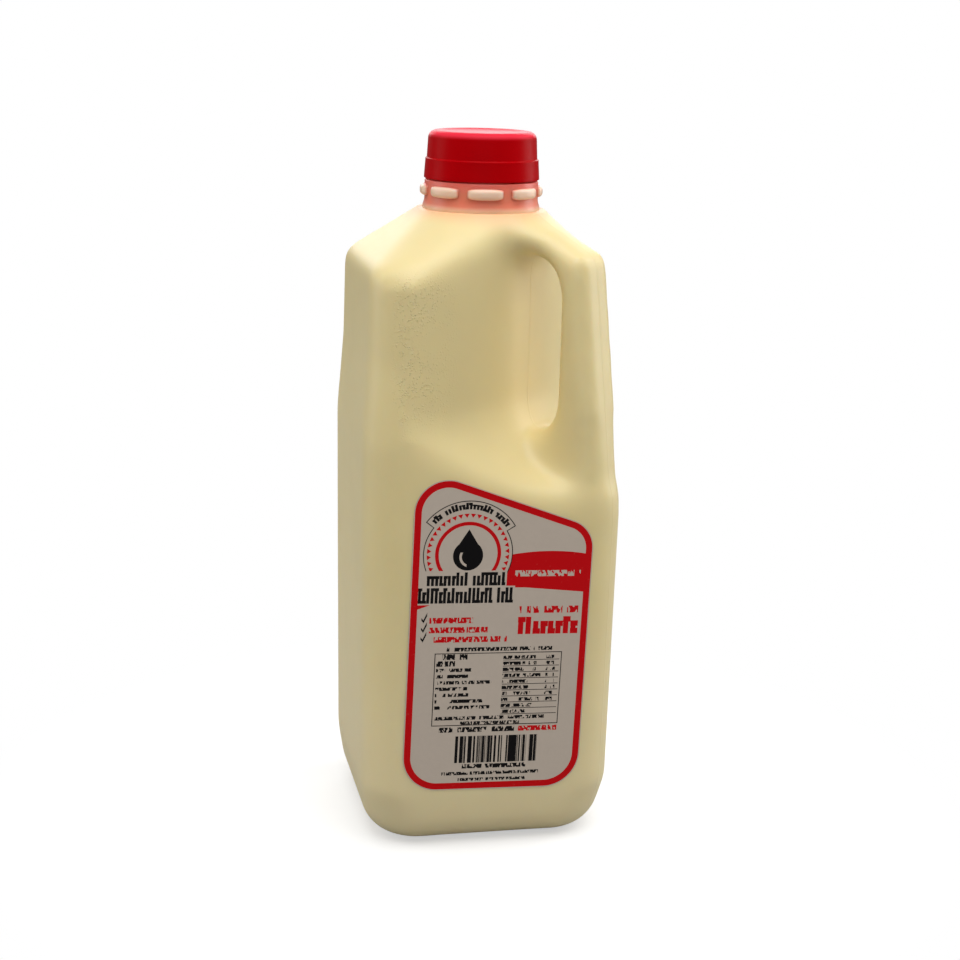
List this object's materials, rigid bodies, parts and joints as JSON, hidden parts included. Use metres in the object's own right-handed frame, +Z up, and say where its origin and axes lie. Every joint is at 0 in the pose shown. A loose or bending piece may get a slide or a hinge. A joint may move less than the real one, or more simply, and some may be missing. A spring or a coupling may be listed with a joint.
{
  "type": "milk jug",
  "caption": "Half-gallon plastic milk jug, full, with a corner handle, a red push-on cap and a plain printed front label.",
  "frame": {"origin": "bottom centre of the body, on the neck's axis, at the table", "axes": "+Z up along the neck; -Y out of the label face; the handle stands at the corner between +X and -Y"},
  "size_m": [0.098, 0.0981, 0.2651],
  "materials": {
    "bottle_plastic": "unpigmented polyethylene, satin",
    "milk_drink": "milk",
    "cap_plastic": "glossy red polyethylene",
    "label_paper": "coated, printed in red and black"
  },
  "bodies": {
    "root": {"jug": "bottle_plastic", "milk": "milk_drink", "cap": "cap_plastic", "label": "label_paper"}
  },
  "joints": []
}
